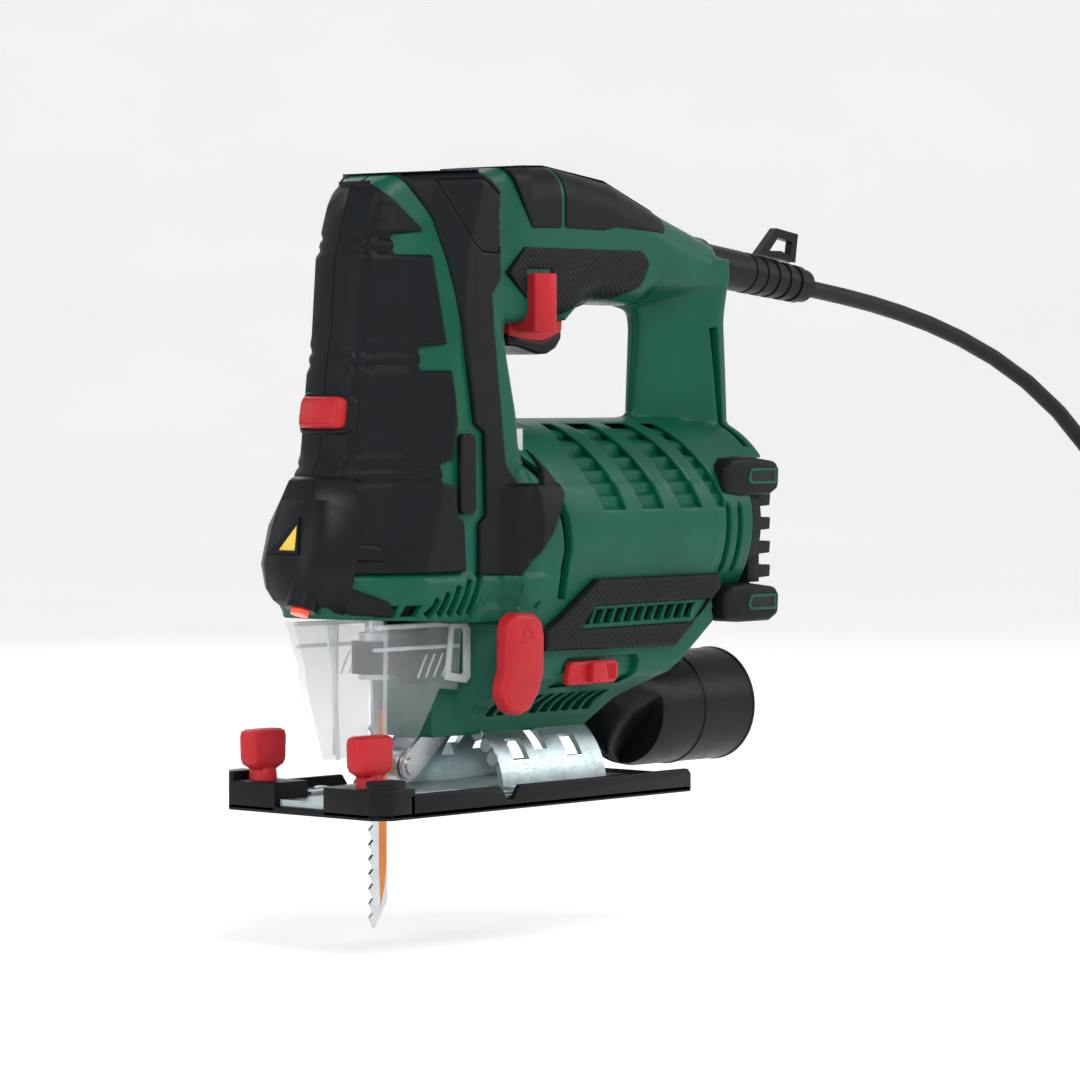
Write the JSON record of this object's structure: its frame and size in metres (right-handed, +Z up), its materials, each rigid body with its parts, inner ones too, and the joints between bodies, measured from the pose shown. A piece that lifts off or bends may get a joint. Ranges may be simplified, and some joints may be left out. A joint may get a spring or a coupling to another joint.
{
  "type": "jigsaw",
  "caption": "Corded D-handle jigsaw with a swivelling shoe base, stroking blade, orbital guide roller, clear chip guard, dust spout, soft grips and a coiled mains lead.",
  "frame": {"origin": "on the plane of the sole, under the blade's centre line", "axes": "+X towards the mains lead, -X the cutting direction, +Z up from the sole, +Y the tool's right side"},
  "size_m": [0.6821, 0.1108, 0.2712],
  "materials": {
    "green_plastic": "satin moulded",
    "grip_rubber": "soft matt",
    "black_plastic": "moulded",
    "red_plastic": "satin moulded",
    "steel": "ground",
    "zinc_steel": "zinc plated",
    "blade_steel": "ground with an orange stripe",
    "die_cast": "cast",
    "copper": "enamelled wire",
    "bronze": "turned",
    "carbon": "pressed",
    "clear_guard": "clear polycarbonate",
    "laser_glass": "lens",
    "cord_rubber": "matt"
  },
  "bodies": {
    "housing": {"left_shell": "green_plastic", "right_shell": "green_plastic", "left_head_grip": "grip_rubber", "right_head_grip": "grip_rubber", "left_handle_grip": "grip_rubber", "right_handle_grip": "grip_rubber", "left_side_panel": "grip_rubber", "right_side_panel": "grip_rubber", "rear_bumper": "grip_rubber", "nose_cover": "black_plastic", "label_plate": "black_plastic", "housing_screws": "steel", "switch_module": "black_plastic", "laser_module": "die_cast", "laser_lens": "laser_glass", "motor_stator": "steel", "motor_windings": "copper", "front_bearing": "steel", "rear_bearing": "steel", "brush_holders": "bronze", "carbon_brushes": "carbon", "gear_axle": "steel", "gearbox_plate": "die_cast", "plunger_bushes": "bronze", "fork_pin": "steel", "blade_guard": "clear_guard", "base_screw": "steel", "dust_elbow": "black_plastic", "dust_sleeve": "black_plastic", "strain_relief": "cord_rubber", "key_clip": "black_plastic", "cord_clamp": "steel", "cord_tube": "cord_rubber", "cord_coil": "cord_rubber", "coil_tie": "cord_rubber", "plug_body": "cord_rubber", "plug_pins": "bronze"},
    "trigger": {"trigger": "red_plastic", "trigger_pad": "grip_rubber"},
    "lock": {"lock_button": "red_plastic"},
    "selector": {"selector_lever": "red_plastic"},
    "blower": {"blower_slider": "red_plastic"},
    "lights": {"light_switch": "red_plastic"},
    "rotor": {"armature": "steel", "motor_pinion": "steel", "commutator": "copper", "cooling_fan": "black_plastic"},
    "gear": {"drive_gear": "steel"},
    "plunger": {"plunger_rod": "steel", "blade_clamp": "steel", "blade": "blade_steel"},
    "collar": {"clamp_collar": "black_plastic"},
    "fork": {"orbital_fork": "steel", "roller_pin": "steel"},
    "roller": {"guide_roller": "steel"},
    "base": {"base_cradle": "zinc_steel", "sole_plate": "zinc_steel", "sliding_shoe": "black_plastic"},
    "left_knob": {"left_guide_knob": "red_plastic"},
    "right_knob": {"right_guide_knob": "red_plastic"}
  },
  "joints": [
    {"name": "base_tilt", "type": "hinge", "parent": "housing", "child": "base", "pos_m": [0.06, 0, 0.004], "axis": [1, 0, 0], "range_deg": [-45, 45]},
    {"name": "plunger_stroke", "type": "slide", "parent": "housing", "child": "plunger", "axis": [0, 0, 1], "range_m": [-0.01, 0.01]},
    {"name": "collar_turn", "type": "hinge", "parent": "plunger", "child": "collar", "pos_m": [0, 0, 0.05], "axis": [0, 0, 1], "range_deg": [0, 35], "stiffness_Nm_per_rad": 0.02},
    {"name": "motor_spin", "type": "hinge", "parent": "housing", "child": "rotor", "pos_m": [0.09, 0, 0.095], "axis": [1, 0, 0], "continuous": true},
    {"name": "gear_spin", "type": "hinge", "parent": "housing", "child": "gear", "pos_m": [0.03, 0, 0.1225], "axis": [1, 0, 0], "continuous": true},
    {"name": "trigger_press", "type": "slide", "parent": "housing", "child": "trigger", "axis": [0, 0, 1], "range_m": [0, 0.005], "stiffness_N_per_m": 800, "springref_m": -0.001},
    {"name": "lock_press", "type": "slide", "parent": "housing", "child": "lock", "axis": [0, 1, 0], "range_m": [0, 0.003], "stiffness_N_per_m": 500, "springref_m": -0.0005},
    {"name": "selector_turn", "type": "hinge", "parent": "housing", "child": "selector", "pos_m": [0.029, -0.03, 0.057], "axis": [0, 1, 0], "range_deg": [0, 100]},
    {"name": "blower_slide", "type": "slide", "parent": "housing", "child": "blower", "axis": [1, 0, 0], "range_m": [0, 0.007]},
    {"name": "light_rock", "type": "hinge", "parent": "housing", "child": "lights", "pos_m": [-0.0216, 0, 0.1355], "axis": [0.1805, 0, 0.9836], "range_deg": [-5, 5]},
    {"name": "fork_swing", "type": "hinge", "parent": "housing", "child": "fork", "pos_m": [0.029, 0, 0.029], "axis": [0, 1, 0], "range_deg": [-5, 0]},
    {"name": "roller_spin", "type": "hinge", "parent": "fork", "child": "roller", "pos_m": [0.011, 0, 0.014], "axis": [0, 1, 0], "continuous": true},
    {"name": "left_knob_turn", "type": "hinge", "parent": "base", "child": "left_knob", "pos_m": [-0.0295, -0.025, 0.015], "axis": [0, 0, 1], "continuous": true},
    {"name": "right_knob_turn", "type": "hinge", "parent": "base", "child": "right_knob", "pos_m": [-0.0295, 0.025, 0.015], "axis": [0, 0, 1], "continuous": true}
  ],
  "couplings": [
    {"joint": "gear_spin", "follows": "motor_spin", "ratio": -0.19565}
  ]
}
